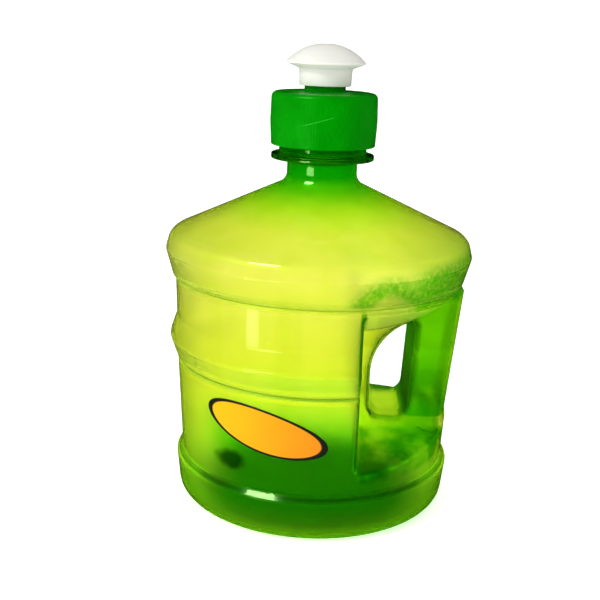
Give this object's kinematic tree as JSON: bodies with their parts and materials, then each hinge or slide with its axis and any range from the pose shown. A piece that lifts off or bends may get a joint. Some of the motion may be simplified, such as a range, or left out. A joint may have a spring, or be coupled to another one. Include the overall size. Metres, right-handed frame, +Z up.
{
  "type": "handled water jug bottle",
  "caption": "See-through blown water jug with a pinched side handle and finger hole, a screw cap with a push-pull drinking spout and an oval sticker.",
  "frame": {"origin": "on the bottle's axis, in the plane it stands on", "axes": "+Z up along the bottle's axis, +X towards the handle, -Y the side with the sticker"},
  "size_m": [0.1236, 0.1236, 0.1847],
  "materials": {
    "bottle": "gloss, see-through yellow-green",
    "seal": "soft foam wad",
    "cap": "satin, opaque green",
    "spout": "satin, opaque white",
    "label": "printed film"
  },
  "bodies": {
    "jug": {"bottle": "bottle", "label": "label"},
    "washer": {"cap_seal": "seal"},
    "cap": {"screw_cap": "cap"},
    "spout": {"spout": "spout"}
  },
  "joints": [
    {"name": "cap_lift", "type": "slide", "parent": "jug", "child": "washer", "axis": [0, 0, 1], "range_m": [0, 0.0064]},
    {"name": "cap_turn", "type": "hinge", "parent": "washer", "child": "cap", "pos_m": [0, 0, 0.155], "axis": [0, 0, 1], "range_deg": [0, 540]},
    {"name": "spout_pull", "type": "slide", "parent": "cap", "child": "spout", "axis": [0, 0, 1], "range_m": [-0.0016, 0.0034]}
  ],
  "couplings": [
    {"joint": "cap_lift", "follows": "cap_turn", "m_per_rad": 0.00067323}
  ]
}
